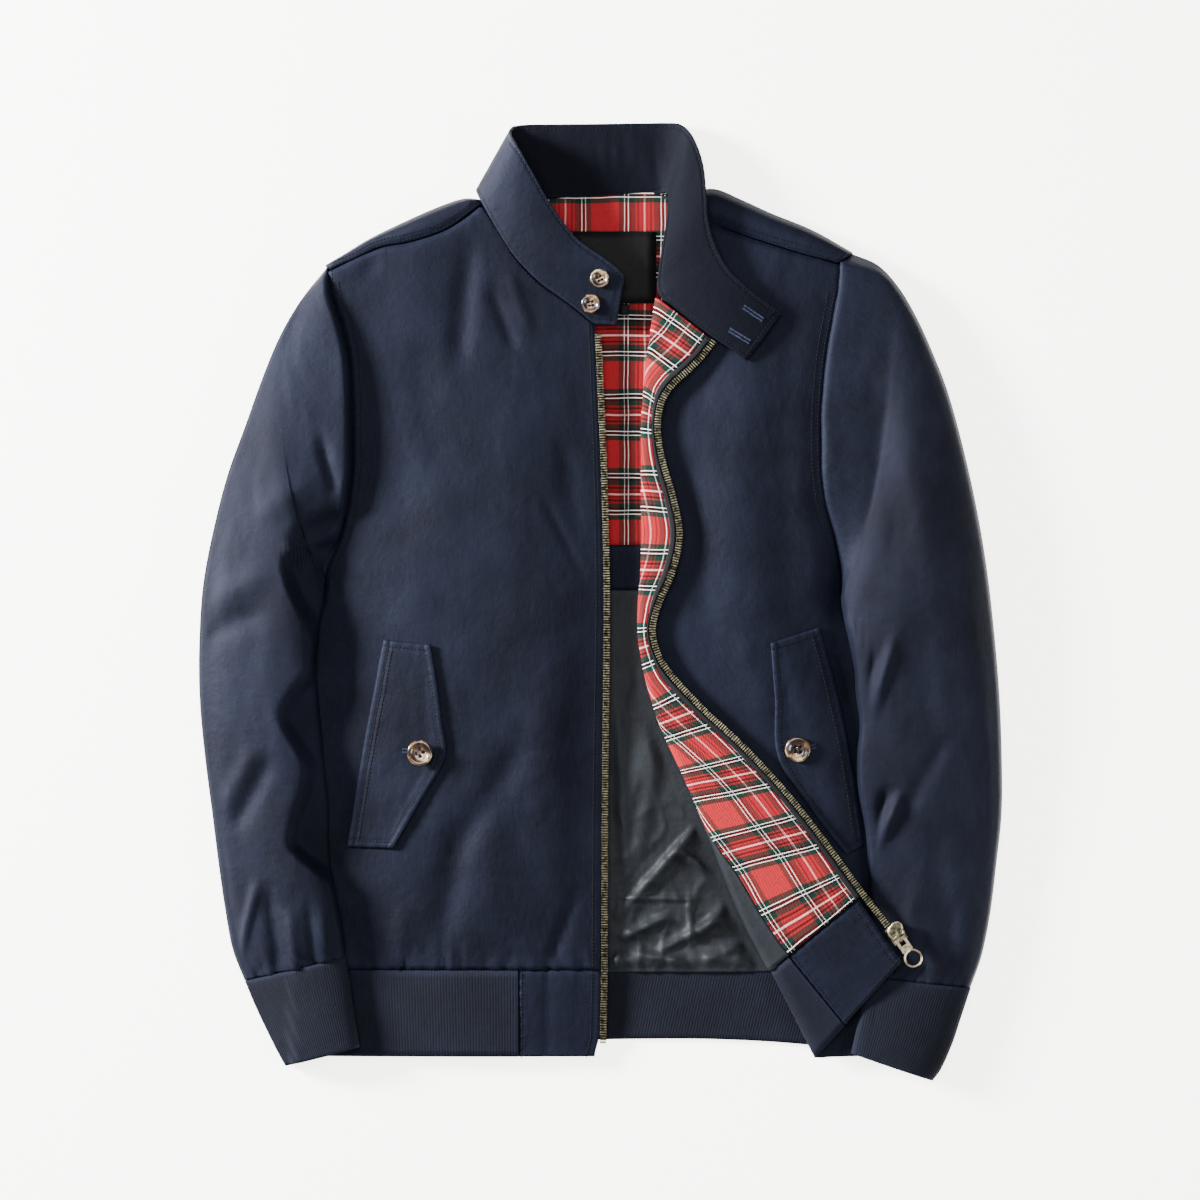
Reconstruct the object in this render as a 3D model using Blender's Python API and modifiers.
"""A harrington jacket, laid flat on its back with the front open.

Metres, +Z up, +Y towards the collar. The surface it lies on is Z = 0.
Tables and sizes are in millimetres and are scaled by MM when a mesh is made.
Right and left are the wearer's: the wearer's right side lies at -X.
Heights (z) in the tables are those of the middle of a wall.
"""

from bisect import bisect_right
from math import cos, dist, hypot, pi, radians, sin

import bpy
from mathutils import Matrix, Vector
from mathutils.bvhtree import BVHTree

MM = 0.001

# ---------------------------------------------------------------- driving sizes
CLOTH = 1.8            # outer cloth with its backing
LINING = 1.0           # plaid, satin and label cloth
KNIT = 2.5             # cuffs and hem band
COLLAR_CLOTH = 2.4     # two layers and interlining
FLAP_CLOTH = 2.2       # pocket flaps, two layers
GAP = 0.3              # between pieces that touch
SEAM = 0.5             # half the distance between two edges sewn together
SLEEVE_SEAM = 1.4      # a sleeve's own half, more because it rises steeply at the armhole
FLOOR = CLOTH / 2      # middle of a wall that lies on the surface

HEM_SEAM_Y = -288.0    # where the body meets the hem band
HEM_END_Y = -356.0
HEM_KEEPS = 0.62       # the hem band's fullness at its end, as a share of that at its seam
SHARE_ARMHOLE = 0.44   # the armhole's share of a front's outer edge
SHARE_NECK = 0.12      # the neck's share of the left front's inner edge
CHAIN_WIDTH = 4.8
CHAIN_GAP = 0.7        # from the cloth's edge to the teeth
CHAIN_THICK = 2.8
TAPE_THICK = 0.8
TAPE_SHOWS = 5.0       # bare tape between teeth and facing
FACING_WIDTH = 71.5
SATIN_SHOWS = 2.2      # of satin beside the facing, where it first comes out at the roll
FACING_UNDER = 13.0    # how far the facing runs on under the roll
ROLL_RADIUS = 4.0

RIGHT, LEFT = -1, 1

COLOURS = {
    "navy_cloth": ((0.022, 0.030, 0.060), 0.62, 0.0),
    "navy_knit": ((0.020, 0.026, 0.060), 0.90, 0.0),
    "plaid_flannel": ((0.560, 0.040, 0.040), 0.90, 0.0),
    "grey_satin": ((0.050, 0.062, 0.078), 0.35, 0.0),
    "label_cloth": ((0.012, 0.012, 0.014), 0.60, 0.0),
    "horn": ((0.160, 0.080, 0.045), 0.25, 0.0),
    "aged_brass": ((0.300, 0.240, 0.140), 0.38, 1.0),
    "zip_tape": ((0.020, 0.022, 0.030), 0.85, 0.0),
}


# ---------------------------------------------------------------- small helpers
def table(columns, *rows):
    """Rows of numbers as dictionaries, one name for each column."""
    names = columns.split()
    return [dict(zip(names, row)) for row in rows]


def through(knots, values):
    """A smooth function through the values that never swings past them."""
    gaps = [b - a for a, b in zip(knots, knots[1:])]
    rises = [(b - a) / g for a, b, g in zip(values, values[1:], gaps)]
    slopes = [rises[0]]
    for low, high in zip(rises, rises[1:]):
        slopes.append(2 * low * high / (low + high) if low * high > 0 else 0.0)
    slopes.append(rises[-1])

    def value(at):
        if at <= knots[0]:
            return values[0]
        if at >= knots[-1]:
            return values[-1]
        i = bisect_right(knots, at) - 1
        t = (at - knots[i]) / gaps[i]
        return (
            (1 + 2 * t) * (1 - t) ** 2 * values[i]
            + t * (1 - t) ** 2 * gaps[i] * slopes[i]
            + t * t * (3 - 2 * t) * values[i + 1]
            + t * t * (t - 1) * gaps[i] * slopes[i + 1]
        )

    return value


def column(rows, key, name):
    """One column of a table as a smooth function of the key column."""
    ordered = sorted(rows, key=lambda row: row[key])
    return through([row[key] for row in ordered], [row[name] for row in ordered])


def curve(points, plan=2):
    """A smooth line through the points, as a function of 0 to 1 by its length in plan."""
    knots = [0.0]
    for a, b in zip(points, points[1:]):
        knots.append(knots[-1] + dist(a[:plan], b[:plan]))
    knots = [knot / knots[-1] for knot in knots]
    last = len(points) - 1
    slopes = []
    for i in range(last + 1):
        a, b = max(i - 1, 0), min(i + 1, last)
        run = knots[b] - knots[a]
        slopes.append([(q - p) / run for p, q in zip(points[a], points[b])])

    def at(t):
        t = min(max(t, 0.0), 1.0)
        i = min(bisect_right(knots, t) - 1, last - 1)
        run = knots[i + 1] - knots[i]
        f = (t - knots[i]) / run
        ends = zip(points[i], slopes[i], points[i + 1], slopes[i + 1])
        return tuple(
            (1 + 2 * f) * (1 - f) ** 2 * p
            + f * (1 - f) ** 2 * run * m
            + f * f * (3 - 2 * f) * q
            + f * f * (f - 1) * run * n
            for p, m, q, n in ends
        )

    return at


def chained(first, second, share):
    """Two lines end to end, the first on 0 to share."""

    def at(t):
        return first(t / share) if t < share else second((t - share) / (1 - share))

    return at


def patch(top, bottom, near, far, u, v):
    """A plan point inside four edges: u runs from near to far, v from top to bottom."""
    corners = (near(0), far(0), near(1), far(1))
    t, b, n, f = top(u), bottom(u), near(v), far(v)
    return tuple(
        (1 - v) * t[i] + v * b[i] + (1 - u) * n[i] + u * f[i]
        - (1 - u) * (1 - v) * corners[0][i] - u * (1 - v) * corners[1][i]
        - (1 - u) * v * corners[2][i] - u * v * corners[3][i]
        for i in (0, 1)
    )


def blend(low, high, at):
    """0 below low, 1 above high, smooth between."""
    t = min(max((at - low) / (high - low), 0.0), 1.0)
    return t * t * (3 - 2 * t)


def steps(first, last, count):
    return [first + (last - first) * i / count for i in range(count + 1)]


def mix(a, b, t):
    return tuple(p + (q - p) * t for p, q in zip(a, b))


def folds_at(folds, x, y):
    """Height that a table of folds adds at a plan point: each is a soft ridge, or a trough."""
    total = 0.0
    for fold in folds:
        ax, ay, bx, by = fold["x0"], fold["y0"], fold["x1"], fold["y1"]
        run = hypot(bx - ax, by - ay)
        along = ((x - ax) * (bx - ax) + (y - ay) * (by - ay)) / run ** 2
        off = abs((x - ax) * (by - ay) - (y - ay) * (bx - ax)) / run
        ends = blend(-0.25, 0.2, along) * (1 - blend(0.8, 1.25, along))
        if off < 3 * fold["width"]:
            total += fold["rise"] * ends * 2.718 ** -((off / fold["width"]) ** 2)
    return total


# ---------------------------------------------------------------- scene and meshes
def clear_scene():
    for old in list(bpy.data.objects):
        bpy.data.objects.remove(old)


def collection(name):
    made = bpy.data.collections.new(name)
    bpy.context.scene.collection.children.link(made)
    return made


def material(name):
    found = bpy.data.materials.get(name)
    if found:
        return found
    colour, roughness, metallic = COLOURS[name]
    made = bpy.data.materials.new(name)
    made.use_nodes = True
    shader = made.node_tree.nodes["Principled BSDF"]
    shader.inputs["Base Color"].default_value = (*colour, 1)
    shader.inputs["Roughness"].default_value = roughness
    shader.inputs["Metallic"].default_value = metallic
    made.diffuse_color = (*colour, 1)
    return made


def add_object(name, mesh, finish, group):
    made = bpy.data.objects.new(name, mesh)
    group.objects.link(made)
    made.data.materials.append(material(finish))
    mesh.shade_smooth()
    mesh.set_sharp_from_angle(angle=radians(50))
    return made


def sheet(name, rows, thickness, finish, group, tube=False):
    """A wall of cloth: rows of (x, y, z) points in millimetres, thickened to both sides.

    A tube's rows are closed rings, and its two ends stay open. Where one row is
    longer than the row before it, the cloth gets that much wider there."""
    points = [tuple(c * MM for c in point) for row in rows for point in row]
    faces = []
    start = 0
    for row, after in zip(rows, rows[1:]):
        below = start + len(row)
        wide = min(len(row), len(after))
        for c in range(wide if tube else wide - 1):
            d = (c + 1) % wide
            faces.append((start + c, start + d, below + d, below + c))
        start = below
    mesh = bpy.data.meshes.new(name)
    mesh.from_pydata(points, [], faces)
    made = add_object(name, mesh, finish, group)
    wall = made.modifiers.new("wall", "SOLIDIFY")
    wall.thickness = thickness * MM
    wall.offset = 0
    return made


def moved(rows, distance):
    """The rows moved away from their surface, to the side that is up at their first point."""
    normals = []
    for r, row in enumerate(rows):
        line = []
        for c, point in enumerate(row):
            above = rows[r - 1] if r and c < len(rows[r - 1]) else row
            below = rows[min(r + 1, len(rows) - 1)]
            a = Vector(row[min(c + 1, len(row) - 1)]) - Vector(row[max(c - 1, 0)])
            b = Vector(below[c]) - Vector(above[c])
            line.append(a.cross(b).normalized())
        normals.append(line)
    away = distance if normals[0][0].z > 0 else -distance
    return [
        [tuple(Vector(p) + n * away) for p, n in zip(row, line)] for row, line in zip(rows, normals)
    ]


def raised(rows, below, thickness, clear=GAP):
    """The rows lifted wherever the wall made from them would touch what is below."""
    rows = [[list(point) for point in row] for row in rows]
    inner = (0.0, 0.25, 0.5, 0.75, 1.0)
    for _ in range(3):
        for r in range(len(rows) - 1):
            for c in range(len(rows[r]) - 1):
                corners = (rows[r][c], rows[r][c + 1], rows[r + 1][c], rows[r + 1][c + 1])
                short = 0.0
                for u in inner:
                    for v in inner:
                        spot = mix(mix(corners[0], corners[1], u), mix(corners[2], corners[3], u), v)
                        need = below(spot[0], spot[1]) + clear + thickness / 2
                        short = max(short, need - spot[2])
                for corner in corners:
                    corner[2] += short
    return rows


def surface_finder(*objects):
    """A function that gives the highest point, in millimetres, of the objects over (x, y)."""
    bpy.context.view_layer.update()
    graph = bpy.context.evaluated_depsgraph_get()
    trees = [BVHTree.FromObject(one, graph) for one in objects]

    def highest(x, y):
        found = [tree.ray_cast(Vector((x * MM, y * MM, 1)), Vector((0, 0, -1))) for tree in trees]
        return max((hit[0].z / MM for hit in found if hit[0]), default=0.0)

    return highest


# ---------------------------------------------------------------- outlines in plan
# The body's outer edge, from hem to shoulder tip: the side above the armpit is the armhole.
BODY_EDGE = table(
    "y right left",
    (-356, -236, 237), (-286, -237, 238), (-190, -241, 241), (-110, -238, 236),
    (-75, -234.5, 223), (-50, -231, 211), (-30, -227, 202), (-19, -223, 196), (-11, -220, 192.4),
    (-2, -216.7, 190), (9, -214.3, 189), (20, -214, 188.6), (48, -203, 183.5), (79, -196, 175),
    (112, -193, 172), (140, -193, 172), (186, -195, 175.5), (219, -202, 181),
    (243, -210, 185.3), (262, -212, 187),
)
ARMHOLE = {RIGHT: (257, 20), LEFT: (262, 9)}          # y of the shoulder tip and the armpit
SHOULDER_TIP_OUT = {RIGHT: (-216.4, 258.6), LEFT: (199.8, 268.2)}
EDGE = {RIGHT: column(BODY_EDGE, "y", "right"), LEFT: column(BODY_EDGE, "y", "left")}

# Middle of the right front's row of zip teeth.
ZIP_RIGHT = table("y x", (215, -2), (209, -1.5), (157, 1), (79, 4), (0, 5.5), (-155, 4), (-286, 3.5), (-356, 2))
ZIP_X = column(ZIP_RIGHT, "y", "x")

# Shoulder seams, from tip to neck, and neck edges, from the shoulder to the zip.
SHOULDER = {
    RIGHT: curve([(-212, 257), (-172, 275), (-148, 279.5), (-122, 288), (-104, 299), (-93, 308)]),
    LEFT: curve([(187, 262), (138, 276), (92, 292), (60, 304)]),
}
NECK_RIGHT = curve([(-93, 308), (-79, 286), (-67, 267), (-48, 247.5), (-30, 235), (-17, 225), (-5, 215)])
NECK_LEFT = curve([(60, 304), (54, 283), (50, 262), (49, 246), (50, 237)])

# Where the left front is rolled back: the roll, the row of teeth level with it,
# and the height of the turned-back cloth at the teeth.
ROLL = table(
    "roll_x roll_y zip_x zip_y zip_z",
    (45, 236, 88, 202, 25.5), (42, 216, 79, 190, 25), (40, 200, 68, 179, 24.5), (37.5, 184, 56, 168, 23.5),
    (36, 165, 48, 155, 21.5), (34, 138, 45, 135, 20.2), (34, 112, 48, 112, 20.5), (34, 82, 57, 80, 21.8),
    (34, 52, 62, 51, 23), (33.5, 22, 56, 22, 22), (31.5, -3, 45, -4, 20), (31.5, -26, 41, -24, 19),
    (35, -50, 47, -45, 20), (41, -74, 60, -63, 21), (49, -98, 82, -86, 22.5), (60, -122, 107, -109, 23.5),
    (72, -148, 133, -136, 24.5), (86, -182, 156, -163, 25.5), (99, -216, 179, -193, 26.3), (113, -249, 192, -211, 26.8),
    (133, -287.5, 204, -227.5, 27),
)
ROLL_COLUMNS = ("roll_x", "roll_y", "zip_x", "zip_y", "zip_z")
roll_line = curve([tuple(row[name] for name in ROLL_COLUMNS) for row in ROLL])
ROLL_X = column(ROLL, "roll_y", "roll_x")

# ---------------------------------------------------------------- heights of the fronts
# Five places across a front: 0 is its outer edge, 1 its zip edge (right) or its roll (left).
PLACES = (0.0, 0.15, 0.4, 0.75, 1.0)
FRONT_HEIGHTS = {
    RIGHT: table(
        "y edge rise crown inner zip",
        (308, 16, 16, 17, 16, 15), (257, 15, 17, 18, 16, 13), (186, 18, 21, 22, 18, 12),
        (112, 18, 22, 24, 19, 11), (48, 9, 18, 24, 19, 11), (20, 4.6, 15, 24, 19, 11),
        (-8, 3.2, 11, 23, 19, 10.5), (-30, 3, 9, 22, 18, 10.5), (-110, 3, 9, 21, 17, 10),
        (-200, 3, 9, 20, 16, 10), (-288, 3.6, 7.5, 13, 12, 9),
    ),
    LEFT: table(
        "y edge rise crown inner zip",
        (308, 16, 16, 16, 15, 13.5), (262, 15, 17, 18, 16, 12), (194, 18, 21, 21, 16, 10.5),
        (105, 18, 22, 22, 15.5, 9.7), (40, 9, 18, 22, 15, 9.6), (9, 4.6, 15, 21, 15, 9.6),
        (-15, 3.2, 11, 20, 15, 9.6), (-35, 3, 8, 19, 14.5, 9.6), (-110, 3, 8, 17, 14, 9.6),
        (-194, 3, 7.5, 14.5, 13, 9.6), (-288, 3.6, 7, 11, 10.5, 8.6),
    ),
}
HEIGHT_COLUMNS = ("edge", "rise", "crown", "inner", "zip")
FRONT_LINES = {
    side: [column(rows, "y", name) for name in HEIGHT_COLUMNS] for side, rows in FRONT_HEIGHTS.items()
}
FRONT_FOLDS = {
    RIGHT: table(
        "x0 y0 x1 y1 width rise",
        (-60, 190, -75, -20, 26, 2.2), (-120, 120, -100, -60, 20, -1.8),
        (-40, -60, -45, -250, 16, 1.8), (-85, -150, -80, -275, 12, -1.8), (-110, -225, -112, -284, 7, 1.8),
        (-140, -235, -145, -286, 6, -1.6), (-95, 235, -60, 160, 10, -1.6),
    ),
    LEFT: table(
        "x0 y0 x1 y1 width rise",
        (120, 190, 105, 30, 22, 2.0), (150, 120, 140, -20, 16, -1.8), (70, 120, 85, -30, 13, -1.6),
        (110, -30, 130, -90, 12, 1.6),
    ),
}


def across(side, x, y):
    """How far a plan point lies across a front: 0 at its outer edge, 1 at its zip or roll."""
    outer = EDGE[side](y)
    inner = ZIP_X(y) if side == RIGHT else ROLL_X(y)
    return (x - outer) / (inner - outer)


def front_z(side, x, y):
    """Height of the middle of a front's wall over a plan point."""
    place = across(side, x, y)
    base = through(PLACES, [line(y) for line in FRONT_LINES[side]])(place)
    keep_edges = blend(0.06, 0.25, place) * (1 - blend(0.85, 0.98, place))
    return base + keep_edges * folds_at(FRONT_FOLDS[side], x, y)


def outer_edge(side, inset, start_y=None):
    """The armhole and then the side of the body, moved in by the seam's half width."""
    tip, pit = ARMHOLE[side]
    tip = start_y or tip

    def at(v):
        if v < SHARE_ARMHOLE:
            y = tip + (pit - tip) * v / SHARE_ARMHOLE
        else:
            y = pit + (HEM_SEAM_Y + SEAM - pit) * (v - SHARE_ARMHOLE) / (1 - SHARE_ARMHOLE)
        return (EDGE[side](y) - side * inset, y)

    return at


def shifted(line, dx, dy):
    return lambda t: (line(t)[0] + dx, line(t)[1] + dy)


# ---------------------------------------------------------------- sleeves
RING = 9                                  # points over a ring's top, and as many below
RING_ANGLES = steps(0.32, pi - 0.32, RING)
RING_PLACES = [(1 - cos(angle)) / 2 for angle in RING_ANGLES]
# The rows of a front or the back that meet the points of the sleeve's first ring.
ARMHOLE_STEPS = [
    SHARE_ARMHOLE * (place - RING_PLACES[0]) / (RING_PLACES[-1] - RING_PLACES[0]) for place in RING_PLACES
]
LIFT_CLEAR = 4.2                          # a sleeve's lower wall above the front it lies on

# Each row is one ring: its outer and inner ends in plan, how far it bows towards
# the body, and its height.
SLEEVE = {
    RIGHT: table(
        "outer_x outer_y inner_x inner_y bow height",
        (-234, 233, -216.8, 13, 18, 24), (-249, 207, -217.8, 6, 13, 27), (-262, 176, -219.2, -1, 9, 30),
        (-276, 137, -220.6, -8, 6, 32), (-290, 98, -222, -16, 4, 33), (-301, 55, -223, -28, 2, 34),
        (-309, 12, -223.5, -48, 0, 34), (-312, -35, -221, -73, 0, 34), (-311.5, -78, -218.5, -98, 0, 34),
        (-307.5, -122, -215.5, -128, 0, 33), (-302, -165, -212, -160, 0, 32), (-297, -205, -211.5, -194, 0, 31),
        (-292, -240, -208, -226, 0, 30), (-286, -272, -202, -256, 0, 29), (-277, -295.5, -200, -276.5, 0, 24),
    ),
    LEFT: table(
        "outer_x outer_y inner_x inner_y bow height",
        (217, 261.5, 191.4, 3, 15, 24), (233, 244, 192.6, -4, 12, 27), (247, 220, 194, -11, 9, 30),
        (260, 191, 195.5, -19, 6, 32), (271, 162, 197, -28, 4, 33), (283, 118, 198.5, -40, 2, 34),
        (293, 73, 199, -55, 0, 34), (301, 26, 200, -72, 0, 33), (307, -25, 203, -96, 0, 31),
        (311, -72, 201, -122, 0, 29), (313, -120, 202, -147, 0, 27), (313, -165, 207.5, -178, 0, 25),
        (309, -205, 210, -210, 0, 23), (304, -245, 211, -243, 0, 22), (297.5, -277, 211, -270, 0, 21),
        (289, -301, 210, -292, 0, 20),
    ),
}
CUFF = {
    RIGHT: table(
        "outer_x outer_y inner_x inner_y bow height",
        (-276.6, -296.6, -199.8, -277.4, 0, 23.5), (-268, -317, -196.5, -298, 0, 22.5),
        (-259.5, -335, -194, -316, 0, 22), (-251, -352, -191, -334, 0, 21.5), (-245, -363, -189, -348, 0, 20.5),
    ),
    LEFT: table(
        "outer_x outer_y inner_x inner_y bow height",
        (288.6, -302.1, 209.8, -292.9, 0, 20.5), (281, -325, 205.5, -311, 0, 21),
        (274, -346, 202.5, -328, 0, 21), (265, -366, 199, -344, 0, 20.5), (259, -374, 197, -353, 0, 19.5),
    ),
}
SLEEVE_FOLDS = {
    RIGHT: table(
        "x0 y0 x1 y1 width rise",
        (-252, 30, -200, 62, 11, -5.5), (-262, 70, -215, 92, 12, 3.0), (-236, 10, -226, -50, 9, 3.0),
        (-249, -89, -234, -135, 8, -5.0), (-262, -60, -250, -120, 11, 2.5), (-243, -178, -215, -194, 7, -5.0),
        (-270, -150, -238, -165, 9, 3.0), (-270, -228, -278, -280, 5, 2.5), (-290, 20, -285, -120, 14, 2.0),
        (-250, -235, -240, -288, 6, -2.5), (-228, -240, -222, -282, 6, 2.0),
    ),
    LEFT: table(
        "x0 y0 x1 y1 width rise",
        (228, -150, 208, -205, 7, -3.5), (224, -44, 207, -95, 8, -5.0), (240, 130, 275, 20, 14, 3.5),
        (215, 160, 235, 40, 12, -3.5), (246, -20, 258, -120, 11, -3.0), (285, 20, 292, -110, 12, 2.5),
        (262, -180, 268, -260, 9, -2.5), (244, -230, 240, -285, 6, 2.0), (275, -240, 272, -298, 6, -2.0),
    ),
}


def body_top(side, x, y):
    """Height of the middle of the front, or of the hem band below it."""
    if y > HEM_SEAM_Y:
        return front_z(side, x, y)
    return hem_front_z(side, x, y)


def hem_front_z(side, x, y):
    """The hem band's front: as high as the body at its seam, lower at its end, flat at the side."""
    down = blend(HEM_SEAM_Y, HEM_END_Y, y)
    seam = front_z(side, x, HEM_SEAM_Y)
    side_edge = KNIT * 1.5 + GAP
    return max(seam + (side_edge + HEM_KEEPS * (seam - side_edge) - seam) * down, side_edge)


def sleeve_floor(side, x, y, half):
    """Height of a sleeve's lower wall: on the surface, or lifted over the body's side."""
    edge = EDGE[side](max(y, HEM_END_Y))
    inside = -side * (x - edge)           # how far inside the body's outline
    pit = ARMHOLE[side][1]
    near = blend(-24, -9, inside) * blend(pit - 14, pit - 30, y)
    over = body_top(side, edge if inside < 0 else x, max(y, HEM_END_Y)) + LIFT_CLEAR
    return half + (over - half) * near


def ring_points(side, row, thickness, folds):
    """One ring of a sleeve: outer end, over the top, inner end, back along the bottom."""
    start = Vector((row["outer_x"], row["outer_y"]))
    end = Vector((row["inner_x"], row["inner_y"]))
    chord = end - start
    across_way = Vector((chord.y, -chord.x)).normalized() * -side
    half = thickness / 2

    def plan(place):
        bow = row["bow"] * 4 * place * (1 - place)
        return start + chord * place + across_way * bow

    def floor_at(place):
        spot = plan(place)
        return sleeve_floor(side, spot.x, spot.y, half)

    def middle(place):
        return floor_at(place) + 0.38 * max(row["height"] - floor_at(place), 7)

    top, bottom = [], []
    for angle, place in zip(RING_ANGLES, RING_PLACES):
        spot = plan(place)
        low, mid = floor_at(place), middle(place)
        full = sin(angle)
        crown = max(row["height"], low + 9)
        high = mid + (crown - mid) * full ** 0.75
        high += folds_at(folds, spot.x, spot.y) * blend(0.3, 0.8, full)
        top.append((spot.x, spot.y, max(high, low + thickness + 2.5)))
        bottom.append((spot.x, spot.y, low + (mid - low) * max(0.0, 1 - full / 0.55) ** 2))
    ends = [(*plan(place), middle(place)) for place in (0, 1)]
    return [ends[0], *top, ends[1], *reversed(bottom)]


def armhole_ring(side):
    """The sleeve's first ring, along the body's armhole: its top follows the front's edge."""
    tip, pit = ARMHOLE[side]
    low, high = RING_PLACES[0], RING_PLACES[-1]
    top, bottom = [], []
    for place in RING_PLACES:
        y = tip + (pit - tip) * (place - low) / (high - low)
        x = EDGE[side](y)
        top.append((x + side * SLEEVE_SEAM, y, front_z(side, x - side * SEAM, y)))
        bottom.append((x + side * SLEEVE_SEAM, y, FLOOR))
    out_x, out_y = SHOULDER_TIP_OUT[side]
    shoulder = (out_x + side * SLEEVE_SEAM, out_y, (top[0][2] + FLOOR) / 2)
    armpit = (top[-1][0] + side * 1.2, pit - 2.0, (top[-1][2] + FLOOR) / 2)
    return [shoulder, *top, armpit, *reversed(bottom)]


def sleeve_rings(side):
    return [armhole_ring(side)] + [ring_points(side, row, CLOTH, SLEEVE_FOLDS[side]) for row in SLEEVE[side]]


def cuff_rings(side):
    return [ring_points(side, row, KNIT, []) for row in CUFF[side]]


# ---------------------------------------------------------------- back
# The back's upper end from the right tip to the left tip: where it leaves the
# surface, its silhouette, and the edge it is sewn along (shoulder seam, neck,
# shoulder seam). A seam height of 0 means that of the front it is sewn to.
BACK_TOP = table(
    "foot_x foot_y out_x out_y seam_x seam_y seam_z",
    (-210.9, 256.5, -214.6, 261.8, -210.8, 258.9, 0), (-196, 262, -199, 271, -190, 268.1, 0),
    (-177, 273.5, -180, 282.5, -172, 276.2, 0), (-152, 286, -154, 295, -148, 280.7, 0),
    (-127, 298, -128, 306.5, -122, 289.2, 0), (-107, 305.5, -108, 313.5, -105, 300.2, 0),
    (-98, 306, -99, 313.8, -95.5, 307.8, 0), (-89, 306, -90, 312.6, -87.5, 311.6, 7.5),
    (-78, 308, -78, 312.6, -77, 314.2, 2.2), (-50, 309.5, -50, 313, -50, 315.4, 0.9),
    (0, 309.8, 0, 313.2, 0, 315.6, 0.9), (30, 309.8, 30, 313.2, 30, 315.6, 0.9),
    (47, 308, 47, 312.8, 46, 314.6, 2.2), (57, 306.5, 57, 313.2, 54.5, 310.6, 7.5),
    (67, 308.5, 67, 316.5, 61.5, 304.4, 0), (88, 312.5, 88, 321.5, 92, 293.2, 0),
    (109, 304, 110, 313, 114, 285, 0), (131.5, 293.5, 133, 302.5, 138, 277.2, 0),
    (164, 280, 166, 289, 162, 269.9, 0), (185.7, 261.5, 197.4, 271.6, 185.8, 264.2, 0),
)
BACK_NAMES = ("foot_x", "foot_y", "out_x", "out_y", "seam_x", "seam_y")
BACK_COLUMNS = 26
BACK_STEPS = [0] + ARMHOLE_STEPS[1:] + [0.5, 0.58, 0.7, 0.85, 1]


def back_top_line():
    points = []
    for row in BACK_TOP:
        side = RIGHT if row["seam_x"] < 0 else LEFT
        high = row["seam_z"] or front_z(side, row["seam_x"], row["seam_y"])
        points.append((*[row[name] for name in BACK_NAMES], high))
    return curve(points)


def back_rows(columns=BACK_COLUMNS, down_steps=BACK_STEPS):
    top_line = back_top_line()

    def foot(u):
        return top_line(u)[:2]

    def bottom(u):
        return mix((EDGE[RIGHT](HEM_SEAM_Y) + SEAM, HEM_SEAM_Y + SEAM),
                   (EDGE[LEFT](HEM_SEAM_Y) - SEAM, HEM_SEAM_Y + SEAM), u)

    near = outer_edge(RIGHT, SEAM, foot(0)[1])
    far = outer_edge(LEFT, SEAM, foot(1)[1])
    across_steps = steps(0, 1, columns)
    upper = [[], [], [], []]
    for u in across_steps:
        foot_x, foot_y, out_x, out_y, seam_x, seam_y, high = top_line(u)
        high = max(high, FLOOR)
        mid = (high + FLOOR) / 2
        out, seam = (out_x, out_y), (seam_x, seam_y)
        upper[0].append((*seam, high))
        upper[1].append((*mix(out, seam, 0.22), mid + (high - mid) * 0.72))
        upper[2].append((*out, mid))
        upper[3].append((*mix((foot_x, foot_y), out, 0.72), FLOOR + (mid - FLOOR) * 0.3))
    lower = [
        [(*patch(foot, bottom, near, far, u, v), FLOOR) for u in across_steps] for v in down_steps
    ]
    return upper + lower


# ---------------------------------------------------------------- fronts
FRONT_COLUMNS = 15
FRONT_STEPS = ARMHOLE_STEPS + steps(SHARE_ARMHOLE, 1, 14)[1:]


def front_right_rows(across_steps, down_steps):
    share = 0.49                          # the shoulder's share of the upper edge
    shoulder = shifted(SHOULDER[RIGHT], 0.2, -SEAM)
    neck = shifted(NECK_RIGHT, -0.5, -0.6)
    top = chained(shoulder, neck, share)
    near = outer_edge(RIGHT, SEAM)

    def zip_edge(v):
        y = neck(1)[1] + (HEM_SEAM_Y + SEAM - neck(1)[1]) * v
        return (ZIP_X(y) - CHAIN_WIDTH / 2 - CHAIN_GAP, y)

    def bottom(u):
        start, end = near(1), zip_edge(1)
        return mix(start, end, u)

    rows = []
    for v in down_steps:
        row = []
        for u in across_steps:
            x, y = patch(top, bottom, near, zip_edge, u, v)
            row.append((x, y, front_z(RIGHT, x, y)))
        rows.append(row)
    return rows


# The left front: its inner edge is the neck and then the roll, where the cloth turns
# back over itself. Rows along the roll are longer by the turn and the flap.
LEFT_COLUMNS = 9
TURN_PARTS = 4
FLAP_PARTS = 5


def roll_frame(v):
    """The roll's place, the way from it to the teeth, the distance, and the teeth's height."""
    roll_x, roll_y, zip_x, zip_y, zip_z = roll_line(v)
    way = Vector((zip_x - roll_x, zip_y - roll_y))
    return Vector((roll_x, roll_y)), way.normalized(), way.length, zip_z


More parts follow.
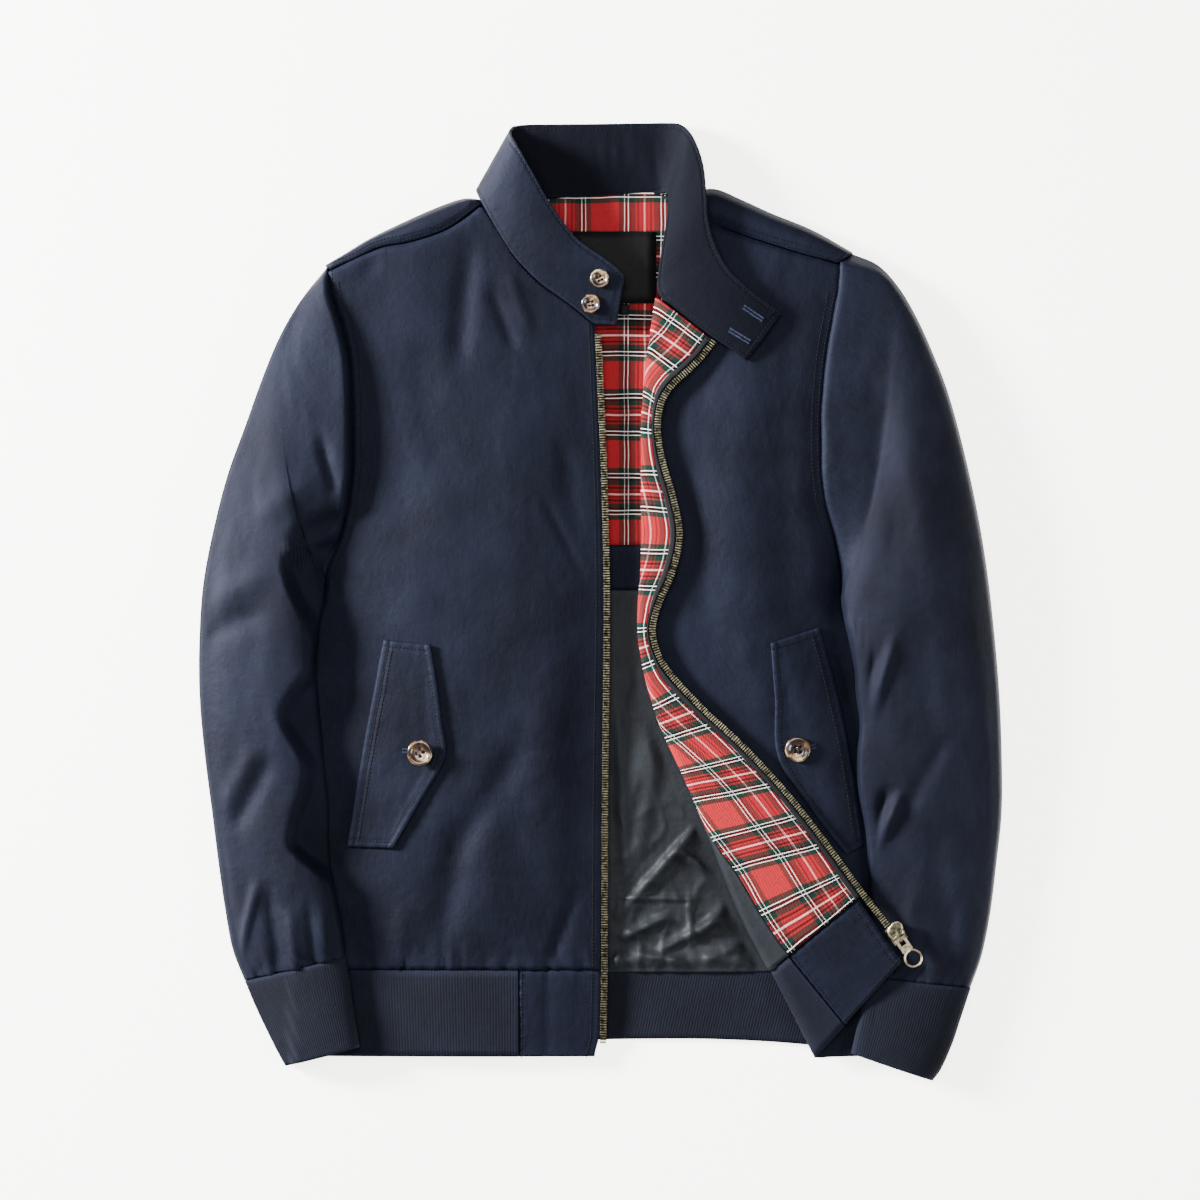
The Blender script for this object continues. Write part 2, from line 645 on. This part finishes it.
def flap_profile(v):
    """The turned-back cloth at one place along the roll, as (distance from the roll, height).

    It leaves the lower layer, goes round the roll and ends beside the teeth."""
    start, way, width, zip_z = roll_frame(v)
    radius = min(ROLL_RADIUS, width * 0.36)

    def lower(w):
        spot = start + way * w
        return front_z(LEFT, spot.x, spot.y)

    base = lower(radius)
    angles = steps(0, pi, TURN_PARTS)[:-1]
    turn = [(radius * (1 - sin(a)), base + radius * (1 - cos(a))) for a in angles]
    top = base + 2 * radius
    end = width - CHAIN_WIDTH / 2 - CHAIN_GAP
    over = []
    for w in steps(radius, end, FLAP_PARTS):
        t = (w - radius) / (width - radius)
        arch = min(1.4, 0.02 * width) * sin(pi * t)
        over.append((w, max(top + (zip_z - top) * t + arch, lower(w) + CLOTH + 1.2)))
    return start, way, turn + over


def flap_length(v):
    """From the roll to the teeth, over the turned-back cloth."""
    return path_length(flap_profile(v)[2][TURN_PARTS:])


def path_length(path):
    return sum(dist(a, b) for a, b in zip(path, path[1:]))


# Along the roll (0 to 1), where the satin comes out beside the facing.
SATIN_STARTS = next(v for v in steps(0, 1, 400) if flap_length(v) > FACING_WIDTH - 5)


def roll_steps():
    """Rows along the roll, with two close together where the facing stops going round
    it and the satin begins."""
    along = [v for v in steps(0, 1, 31) if abs(v - SATIN_STARTS) > 0.012]
    return sorted(along + [SATIN_STARTS - 0.004, SATIN_STARTS + 0.002])


def placed(start, way, profile):
    return [(start.x + way.x * w, start.y + way.y * w, z) for w, z in profile]


def front_left_rows(columns=LEFT_COLUMNS):
    near = outer_edge(LEFT, SEAM)

    def roll_edge(v):
        start, way, profile = flap_profile(v)
        return tuple(start + way * profile[0][0])

    neck = curve([*(NECK_LEFT(t) for t in (0, 0.25, 0.5, 0.75)), roll_edge(0)])
    inner = chained(neck, roll_edge, SHARE_NECK)
    shoulder = shifted(SHOULDER[LEFT], 0, -SEAM)

    def bottom(u):
        return mix(near(1), roll_edge(1), u)

    places = [(v, None) for v in steps(0, SHARE_NECK, 3)[:-1]]
    places += [(SHARE_NECK + (1 - SHARE_NECK) * v, v) for v in roll_steps()]
    rows = []
    for v, on_roll in places:
        row = []
        for u in steps(0, 1, columns):
            x, y = patch(shoulder, bottom, near, inner, u, v)
            row.append((x, y, front_z(LEFT, x, y)))
        if on_roll is not None:
            start, way, profile = flap_profile(on_roll)
            row[-1:] = placed(start, way, profile)
        rows.append(row)
    return rows


# ---------------------------------------------------------------- facing and front lining
def lining_paths(rows, off):
    """The left front's rows along the roll moved to its lining side: for each its points
    over the flap from the teeth to the roll, and its points round the roll and under it."""
    paths = []
    for row in moved(rows, -off):
        if len(row) > LEFT_COLUMNS + 1:
            path = list(reversed(row[LEFT_COLUMNS - 2:]))
            over, rest = path[:FLAP_PARTS + 1], path[FLAP_PARTS + 1:]
            under = cut_path(rest[TURN_PARTS - 1:], 0, FACING_UNDER, 2)
            paths.append((over, rest[:TURN_PARTS - 1] + under))
    return paths


def cut_path(path, first, last, parts):
    """Points evenly spaced along a path, between two distances from its start."""
    marks = [0.0]
    for a, b in zip(path, path[1:]):
        marks.append(marks[-1] + dist(a, b))
    made = []
    for mark in steps(first, last, parts):
        i = min(max(bisect_right(marks, mark) - 1, 0), len(path) - 2)
        t = (mark - marks[i]) / (marks[i + 1] - marks[i])
        made.append(mix(path[i], path[i + 1], t))
    return made


def facing_marks(over):
    """Where the facing starts and ends on a row over the flap, and whether it ends there."""
    length = path_length(over)
    start = min(TAPE_SHOWS, 0.35 * length)
    if length > FACING_WIDTH - 5:
        return start, min(FACING_WIDTH, length - SATIN_SHOWS - GAP), True
    return start, length, False


def facing_rows(paths):
    """Round the roll as far as the flap is narrow, then only as wide as the facing."""
    rows = []
    for over, under in paths:
        start, end, ends_here = facing_marks(over)
        rows.append(cut_path(over, start, end, 5) + ([] if ends_here else under))
    return rows


def front_satin_rows(paths):
    rows = []
    for over, under in paths:
        start, end, ends_here = facing_marks(over)
        if ends_here:
            rows.append(cut_path(over, end + 2 * GAP, path_length(over), 3) + under)
    return rows


def tape_left_rows(paths):
    return [cut_path(over, 0, facing_marks(over)[0] - GAP, 1) for over, under in paths]


# ---------------------------------------------------------------- hem band and tabs
TAB_WIDTH = 67.0
TAB_END_DROP = 62.0
# The hem band from its seam with the right tab, round the back, to the left tab:
# its sewn edge and its free edge. A height of 0 means that of the front it hangs from.
HEM = table(
    "seam_x seam_z end_x end_y end_z seam_y",
    (-64.5, 0, -64.5, -356, 0, -288.5), (-90, 0, -90, -356, 0, -288.5), (-120, 0, -120, -356, 0, -288.5),
    (-150, 0, -150, -356, 0, -288.5), (-180, 0, -180, -356, 0, -288.5), (-205, 0, -205, -356, 0, -288.5),
    (-224, 0, -224, -356, 0, -288.5), (-233, 0, -233, -356, 0, -288.5), (-237.5, 2.6, -237, -355.5, 2.6, -288.5),
    (-233, 1.25, -233, -355, 1.25, -288.4), (-215, 1.25, -215, -354.5, 1.25, -288.4),
    (-170, 1.25, -170, -352, 1.25, -288.4), (-120, 1.25, -120, -349, 1.25, -288.4),
    (-70, 1.25, -70, -346, 1.25, -288.4), (-20, 1.25, -20, -344, 1.25, -288.4),
    (30, 1.25, 30, -343, 1.25, -288.4), (80, 1.25, 80, -343, 1.25, -288.4),
    (130, 1.25, 130, -345, 1.25, -288.4), (180, 1.25, 180, -349, 1.25, -288.4),
    (216, 1.25, 216, -352, 1.25, -288.4), (234, 1.25, 233, -354, 1.25, -288.4),
    (238.5, 2.6, 237.5, -354.5, 2.6, -288.5), (234, 0, 233, -355, 0, -288.5), (224, 0, 224, -355, 0, -288.5),
    (205, 0, 208, -355.5, 0, -288.5), (180, 0, 190, -356, 0, -288.5), (155, 0, 178, -356.5, 0, -288.5),
    (140, 0, 171.5, -357, 0, -288.5), (134.2, 12.8, 168.6, -356.2, 10.2, -288.3),
    (138.0, 17.0, 172.5, -351.5, 13.4, -284.8), (142.0, 18.2, 180, -343, 15.2, -281.4),
    (146.8, 19.2, 190.4, -331, 17.2, -277.3),
)


def hem_rows(parts):
    points = []
    for row in HEM:
        side = RIGHT if row["seam_x"] < 0 else LEFT
        seam_z = row["seam_z"] or hem_front_z(side, row["seam_x"], row["seam_y"])
        end_z = row["end_z"] or hem_front_z(side, row["end_x"], row["end_y"])
        points.append((row["seam_x"], row["seam_y"], seam_z, row["end_x"], row["end_y"], end_z))
    made = []
    for part in steps(0, 1, parts):
        made.append([mix(point[:3], point[3:], part) for point in points])
    return made


def tab_right_rows():
    rows = []
    for part in steps(0, 1, 6):
        row = []
        for place in steps(0, 1, 5):
            y = HEM_SEAM_Y - 0.7 + (HEM_END_Y - HEM_SEAM_Y + 0.7) * part
            far = ZIP_X(y) - CHAIN_WIDTH / 2 - CHAIN_GAP
            x = -63.6 + (far + 63.6) * place
            rounded = 3.0 * blend(0.75, 1, part) * blend(0.8, 1, place)
            row.append((x - rounded, y, hem_front_z(RIGHT, x, y)))
        rows.append(row)
    return rows


# Corners of the left tab: beside the band and beside the teeth, sewn edge and free edge.
TAB_LEFT = table(
    "x y z",
    (147.5, -276.5, 19.5), (200.6, -231.6, 26.6), (234.2, -280.0, 27.5), (190.9, -330.0, 17.5),
)


def tab_left_rows():
    corner = [Vector((row["x"], row["y"], row["z"])) for row in TAB_LEFT]
    rows = []
    for part in steps(0, 1, 7):
        row = []
        for place in steps(0, 1, 7):
            near = corner[0].lerp(corner[3], part)
            far = corner[1].lerp(corner[2], part)
            spot = near.lerp(far, place)
            row.append((spot.x, spot.y, spot.z + 1.5 * sin(pi * place)))
        rows.append(row)
    return rows


# ---------------------------------------------------------------- collar
# One band, from the right tab round the back of the neck to the left tab. On the
# right it stands folded forward, outer side up; on the left it has fallen open.
COLLAR = table(
    "neck_x neck_y neck_z top_x top_y top_z",
    (13, 215.5, 13, 19, 253, 19), (3, 216.2, 12.8, 12, 260.5, 20), (-4.6, 217, 12.8, 2, 268, 21),
    (-16, 226.8, 13.8, -17, 281, 22), (-29.5, 237, 15, -30, 296, 23), (-47, 249.8, 16, -42, 314, 24),
    (-65.6, 269, 16.5, -53, 334, 24), (-77.8, 287.6, 16.5, -62, 350, 23), (-90, 307.5, 15.5, -67.5, 359, 20),
    (-96, 320, 11, -70, 366, 13.5), (-93, 321, 5, -67, 371, 6.5), (-80, 318, 1.8, -62, 372.5, 4),
    (-50, 316.8, 1.4, -45, 373, 3), (0, 317.2, 1.4, 0, 373.5, 3), (30, 317.2, 1.4, 35, 374, 3),
    (45, 318.5, 2.4, 52, 374, 4.5), (52.5, 319.5, 7, 64, 372, 10), (54, 313, 13, 73, 361, 17),
    (52.5, 296, 16.5, 80, 341, 23), (49, 276, 16.5, 82.5, 319, 27), (46.5, 259, 15.5, 84, 297, 28),
    (45, 246, 14.5, 90, 276, 28), (47.5, 237.5, 16.5, 100, 258, 28), (58, 227.6, 20, 113, 245, 28),
    (73, 215.8, 23.5, 125, 235.5, 27), (89.5, 204, 25.5, 133.5, 229.5, 26), (103, 195, 25.5, 138.5, 226, 25.5),
    (114.5, 187, 25, 141, 223.5, 25),
)
COLLAR_NAMES = ("neck_x", "neck_y", "neck_z", "top_x", "top_y", "top_z")


def collar_rows(along_parts=48, high_parts=4):
    line = curve([tuple(row[name] for name in COLLAR_NAMES) for row in COLLAR], plan=6)
    rows = []
    for part in steps(0, 1, high_parts):
        row = []
        for t in steps(0, 1, along_parts):
            point = line(t)
            x, y, z = mix(point[:3], point[3:], part)
            row.append((x, y, z + 2.0 * sin(pi * part) * blend(10, 16, z)))
        rows.append(row)
    return rows


# ---------------------------------------------------------------- linings of the back
LINING_Z = CLOTH + GAP + LINING / 2
# Each lining's sides, from top to bottom.
LINING_SIDES = {
    "lining_plaid": table(
        "y left right", (309, -72, 49), (300, -73, 51), (288, -74, 60), (200, -75, 66), (44, -75, 66)
    ),
    "lining_band": table("y left right", (43.5, -70, 84), (9, -70, 88)),
}
LINING_FINISH = {"lining_plaid": "plaid_flannel", "lining_band": "navy_cloth"}
SATIN = {"x_low": -60, "x_high": 165, "y_low": -286.5, "y_high": 8.5}
SATIN_FOLDS = table(
    "x0 y0 x1 y1 width rise",
    (82, -168, 28, -238, 6, 4.0), (18, -236, 66, -234, 4, 2.2), (60, -60, 26, -150, 9, 2.0),
    (20, -262, 52, -248, 5, 3.2), (48, -272, 92, -250, 5, 3.4), (84, -276, 112, -268, 5, 2.6),
    (14, -120, 22, -210, 6, 1.8), (30, -280, 70, -279, 4, 2.4),
)


def satin_z(x, y):
    """The satin lies flat under the fronts and puckers in the opening."""
    clear = blend(ZIP_X(y) - 6, ZIP_X(y) + 12, x) * (1 - blend(ROLL_X(y) - 22, ROLL_X(y) - 7, x))
    return LINING_Z + max(0.0, clear * folds_at(SATIN_FOLDS, x, y))


def lining_rows(name, columns, rows):
    sides = LINING_SIDES[name]
    left, right = column(sides, "y", "left"), column(sides, "y", "right")
    high, low = sides[0]["y"], sides[-1]["y"]
    return [[(x, y, LINING_Z) for x in steps(left(y), right(y), columns)] for y in steps(high, low, rows)]


def flat_rows(low_x, high_x, low_y, high_y, columns, rows, height):
    return [[(x, y, height(x, y)) for x in steps(low_x, high_x, columns)] for y in steps(high_y, low_y, rows)]


# ---------------------------------------------------------------- pocket flaps
# Left edge and right edge of each flap, from its sewn end to its free end.
FLAP_EDGES = {
    RIGHT: (
        curve([(-168, -30), (-176, -72), (-185, -120), (-196.5, -192)]),
        curve([(-132, -34), (-127.5, -60), (-123, -95), (-120.5, -120), (-140, -156), (-161, -192.5)]),
    ),
    LEFT: (
        curve([(133, -33), (136, -77), (139, -122), (163, -160), (191.5, -197.5)]),
        curve([(171, -20.5), (184, -70), (195, -122), (201, -160), (205, -191)]),
    ),
}


def pocket_rows(side):
    near, far = FLAP_EDGES[side]
    rows = []
    for v in steps(0, 1, 11):
        row = []
        for u in steps(0, 1, 6):
            x, y = mix(near(v), far(v), u)
            row.append((x, y, front_z(side, x, y)))
        rows.append(row)
    return moved(rows, CLOTH / 2 + GAP + FLAP_CLOTH / 2)


# ---------------------------------------------------------------- buttons
BUTTON_SIDES = 14
BUTTONS = table(
    "name x y width thick",
    ("pocket_button_right", -140, -118, 20, 3.2), ("pocket_button_left", 154, -115.5, 20, 3.2),
    ("collar_button_1", -0.3, 251, 15, 2.8), ("collar_button_2", -7, 232, 15, 2.8),
)
# Radius as a share of the button's, and height as a share of its thickness.
BUTTON_PROFILE = table(
    "radius height",
    (0.0, 0.55), (0.52, 0.55), (0.66, 0.98), (0.86, 1.0), (1.0, 0.62), (0.97, 0.25), (0.80, 0.0), (0.0, 0.0),
)


def make_button(row, rest, group):
    """A turned button that lies on the cloth below it, tilted as the cloth is."""
    x, y, reach = row["x"], row["y"], row["width"] * 0.42
    slope_x = (rest(x + reach, y) - rest(x - reach, y)) / (2 * reach)
    slope_y = (rest(x, y + reach) - rest(x, y - reach)) / (2 * reach)
    normal = Vector((-slope_x, -slope_y, 1)).normalized()
    places = [(reach * cos(a), reach * sin(a)) for a in steps(0, 2 * pi, 12)] + [(0, 0)]
    lift = max(rest(x + dx, y + dy) - slope_x * dx - slope_y * dy for dx, dy in places)
    mesh = bpy.data.meshes.new(row["name"])
    outline = [
        (one["radius"] * row["width"] / 2 * MM, 0, one["height"] * row["thick"] * MM) for one in BUTTON_PROFILE
    ]
    mesh.from_pydata(outline, [(i, i + 1) for i in range(len(outline) - 1)], [])
    made = add_object(row["name"], mesh, "horn", group)
    turn = made.modifiers.new("turned", "SCREW")
    turn.steps = turn.render_steps = BUTTON_SIDES
    turn.use_merge_vertices = True
    turn.merge_threshold = 0.00001
    made.rotation_euler = normal.to_track_quat("Z", "Y").to_euler()
    made.location = Vector((x, y, lift + GAP)) * MM
    return made


# ---------------------------------------------------------------- zip
CHAIN_ENDS = (224.4, -253.4)              # the left teeth stop here, just short of the slider
SLIDER_AT = (230.0, -258.4)               # the slider's middle, in plan
SLIDER_Z = 28.6
SLIDER = {"length": 14.0, "width": 12.0, "plate": 1.3, "slot": 3.6, "wall": 3.2}
BRIDGE = {"length": 7.6, "middle": 3.2, "width": 2.2, "high": 3.4, "hole_length": 4.8, "hole_high": 1.9}
PULL = {"length": 13.0, "width": 9.0, "hole_length": 5.0, "hole_width": 4.4, "bar": 1.4, "thick": 1.2}
RING_RADIUS, RING_WIRE = 6.5, 0.9


def chain_right_rows():
    rows = []
    for y in steps(208, -345, 26):
        x = ZIP_X(y)
        z = front_z(RIGHT, x - 3, y) if y > HEM_SEAM_Y else hem_front_z(RIGHT, x - 3, y)
        rows.append([(x - CHAIN_WIDTH / 2, y, z), (x + CHAIN_WIDTH / 2, y, z)])
    return rows


def tape_right_rows():
    below = CLOTH / 2 + GAP + TAPE_THICK / 2
    rows = []
    for y in steps(206, HEM_SEAM_Y + 3, 22):
        row = []
        for x in (ZIP_X(y) - 13.5, ZIP_X(y) - CHAIN_WIDTH / 2 - CHAIN_GAP):
            row.append((x, y, front_z(RIGHT, x, y) - below))
        rows.append(row)
    return rows


def zip_way():
    corner = [Vector((row["x"], row["y"])) for row in TAB_LEFT]
    return (corner[2] - corner[1]).normalized()


def chain_left_rows():
    """The teeth along the turned-back edge, then beside the left tab as far as the slider."""
    half = CHAIN_WIDTH / 2
    rows = []
    for v in roll_steps():
        start, way, width, zip_z = roll_frame(v)
        profile = flap_profile(v)[2]
        rise = (zip_z - profile[-1][1]) / (width - profile[-1][0])
        rows.append(placed(start, way, [(width - half, zip_z - rise * half), (width + half, zip_z + rise * half)]))
    way = zip_way()
    out = Vector((-way.y, way.x))
    first = (Vector(rows[-1][0]) + Vector(rows[-1][1])) / 2
    stop = Vector(CHAIN_ENDS)
    for part in steps(0, 1, 3)[1:]:
        middle = first.xy.lerp(stop, part)
        z = first.z + (SLIDER_Z - first.z) * part
        rows.append([(*(middle - out * half), z), (*(middle + out * half), z)])
    return rows


def boolean_union(target, other, cutters):
    """Joins other to target, and keeps other only as a hidden tool."""
    joined = target.modifiers.new("joined", "BOOLEAN")
    joined.operation = "UNION"
    joined.object = other
    for group in list(other.users_collection):
        group.objects.unlink(other)
    cutters.objects.link(other)
    other.hide_render = True
    other.display_type = "WIRE"


def extruded(name, outline, depth, finish, group):
    """A flat outline (u, v) in millimetres, made a closed solid of the given depth about 0."""
    count = len(outline)
    points = [(u * MM, v * MM, side * depth / 2 * MM) for side in (-1, 1) for u, v in outline]
    faces = [tuple(reversed(range(count))), tuple(range(count, 2 * count))]
    faces += [(i, (i + 1) % count, (i + 1) % count + count, i + count) for i in range(count)]
    mesh = bpy.data.meshes.new(name)
    mesh.from_pydata(points, [], faces)
    return add_object(name, mesh, finish, group)


def along_zip(height):
    """The slider's frame: X along the zip towards its end, Y across, Z up."""
    way = zip_way()
    frame = Matrix((
        (way.x, -way.y, 0, SLIDER_AT[0] * MM),
        (way.y, way.x, 0, SLIDER_AT[1] * MM),
        (0, 0, 1, height * MM),
        (0, 0, 0, 1),
    ))
    return frame


UPRIGHT_ACROSS = Matrix.Rotation(pi / 2, 4, "X")          # outline drawn in X and Z
UPRIGHT_ALONG = Matrix.Rotation(pi / 2, 4, "Z") @ Matrix.Rotation(pi / 2, 4, "X")   # in Y and Z


def make_slider(height, group, cutters):
    half, plate, slot = SLIDER["width"] / 2, SLIDER["plate"], SLIDER["slot"] / 2
    wall = half - SLIDER["wall"]
    section = [
        (-half, slot), (wall, slot), (wall, -slot), (-half, -slot), (-half, -slot - plate),
        (half, -slot - plate), (half, slot + plate), (-half, slot + plate),
    ]
    frame = along_zip(height)
    body = extruded("zip_slider", list(reversed(section)), SLIDER["length"], "aged_brass", group)
    body.matrix_world = frame @ UPRIGHT_ALONG
    top = slot + plate
    length, hole, high = BRIDGE["length"] / 2, BRIDGE["hole_length"] / 2, BRIDGE["high"]
    arch = [
        (-length, top - 0.5), (-hole, top - 0.5), (-hole, top + BRIDGE["hole_high"]),
        (hole, top + BRIDGE["hole_high"]), (hole, top - 0.5), (length, top - 0.5),
        (length, top + high - 1.2), (length - 1.4, top + high), (1.4 - length, top + high), (-length, top + high - 1.2),
    ]
    bridge = extruded("zip_bridge", arch, BRIDGE["width"], "aged_brass", group)
    bridge.matrix_world = frame @ Matrix.Translation((BRIDGE["middle"] * MM, 0, 0)) @ UPRIGHT_ACROSS
    boolean_union(body, bridge, cutters)
    return body


def pull_axis(height):
    """The pull turns about the middle of its bar, under the slider's bridge."""
    top = SLIDER["slot"] / 2 + SLIDER["plate"]
    bar_x = BRIDGE["middle"] + BRIDGE["hole_length"] / 2 - PULL["bar"] / 2 - 0.35
    local = Vector((bar_x, 0, top + BRIDGE["hole_high"] / 2)) * MM
    return along_zip(height) @ Matrix.Translation(local)


def make_pull(height, group, cutters):
    """A link plate with a window for the bridge, and a wire ring at its end."""
    half, bar = PULL["width"] / 2, PULL["bar"]
    start = -bar / 2
    window = (start + bar, start + bar + PULL["hole_length"])
    hole = PULL["hole_width"] / 2
    end = start + PULL["length"]
    loop = bpy.data.curves.new("zip_pull", "CURVE")
    loop.dimensions = "2D"
    loop.fill_mode = "BOTH"
    loop.extrude = PULL["thick"] / 2 * MM
    outer = [(start, -half), (end - 1.5, -half), (end, -half + 1.5), (end, half - 1.5), (end - 1.5, half), (start, half)]
    inner = [(window[0], -hole), (window[0], hole), (window[1], hole), (window[1], -hole)]
    for outline in (outer, inner):
        spline = loop.splines.new("POLY")
        spline.points.add(len(outline) - 1)
        for point, (u, v) in zip(spline.points, outline):
            point.co = (u * MM, v * MM, 0, 1)
        spline.use_cyclic_u = True
    flat = bpy.data.objects.new("zip_pull_outline", loop)
    group.objects.link(flat)
    bpy.context.view_layer.update()
    mesh = bpy.data.meshes.new_from_object(flat.evaluated_get(bpy.context.evaluated_depsgraph_get()))
    bpy.data.objects.remove(flat)
    made = add_object("zip_pull", mesh, "aged_brass", group)
    weld = made.modifiers.new("caps", "WELD")
    weld.merge_threshold = 0.00001
    made.matrix_world = pull_axis(height)
    bpy.ops.mesh.primitive_torus_add(
        major_radius=RING_RADIUS * MM, minor_radius=RING_WIRE * MM, major_segments=20, minor_segments=8
    )
    ring = bpy.context.object
    ring.name = "zip_pull_ring"
    ring.matrix_world = made.matrix_world @ Matrix.Translation(Vector((end + RING_RADIUS - 0.7, 0, 0)) * MM)
    boolean_union(made, ring, cutters)
    return made


# ---------------------------------------------------------------- labels
def label_rows(x_low, x_high, y_low, y_high, z):
    return flat_rows(x_low, x_high, y_low, y_high, 1, 1, lambda x, y: z)


def main():
    clear_scene()
    jacket = collection("harrington_jacket")
    cutters = collection("joined_tools")

    def cloth(name, rows, thickness=CLOTH, finish="navy_cloth", tube=False):
        return sheet(name, rows, thickness, finish, jacket, tube)

    back = cloth("back_panel", back_rows())
    front_right = cloth("front_right", front_right_rows(steps(0, 1, FRONT_COLUMNS), FRONT_STEPS))
    left_rows = front_left_rows()
    front_left = cloth("front_left", left_rows)

    for side, word in ((RIGHT, "right"), (LEFT, "left")):
        cloth(f"sleeve_{word}", sleeve_rings(side), tube=True)
        cloth(f"cuff_{word}", cuff_rings(side), KNIT, "navy_knit", tube=True)

    cloth("hem_rib", hem_rows(5), KNIT, "navy_knit")
    cloth("hem_tab_right", tab_right_rows())
    arms = surface_finder(bpy.data.objects["sleeve_left"], bpy.data.objects["cuff_left"])
    cloth("hem_tab_left", raised(tab_left_rows(), arms, CLOTH))

    collar = cloth("collar", collar_rows(), COLLAR_CLOTH)

    for name, finish in LINING_FINISH.items():
        rows = raised(lining_rows(name, 6, 6), surface_finder(back), LINING)
        cloth(name, rows, LINING, finish)
    satin = flat_rows(SATIN["x_low"], SATIN["x_high"], SATIN["y_low"], SATIN["y_high"], 15, 15, satin_z)
    cloth("lining_satin", satin, LINING, "grey_satin")
    paths = lining_paths(left_rows, CLOTH / 2 + GAP + LINING / 2)
    cloth("facing_left", facing_rows(paths), LINING, "plaid_flannel")
    cloth("lining_front_left", front_satin_rows(paths), LINING, "grey_satin")

    label_z = LINING_Z + LINING / 2 + GAP + 0.4
    cloth("label_main", label_rows(-21, 44, 233, 289, label_z), 0.8, "label_cloth")
    cloth("label_size", label_rows(15.6, 22.6, 224, 232.5, label_z), 0.8, "label_cloth")

    flaps = []
    for side, word, front in ((RIGHT, "right", front_right), (LEFT, "left", front_left)):
        rows = raised(pocket_rows(side), surface_finder(front), FLAP_CLOTH)
        flaps.append(cloth(f"pocket_flap_{word}", rows, FLAP_CLOTH))
    rest = surface_finder(*flaps, collar)
    for row in BUTTONS:
        make_button(row, rest, jacket)

    cloth("zip_tape_right", tape_right_rows(), TAPE_THICK, "zip_tape")
    cloth("zip_chain_right", chain_right_rows(), CHAIN_THICK, "aged_brass")
    tapes = lining_paths(left_rows, CLOTH / 2 + GAP + TAPE_THICK / 2)
    cloth("zip_tape_left", tape_left_rows(tapes), TAPE_THICK, "zip_tape")
    cloth("zip_chain_left", chain_left_rows(), CHAIN_THICK, "aged_brass")
    make_slider(SLIDER_Z, jacket, cutters)
    make_pull(SLIDER_Z, jacket, cutters)


main()
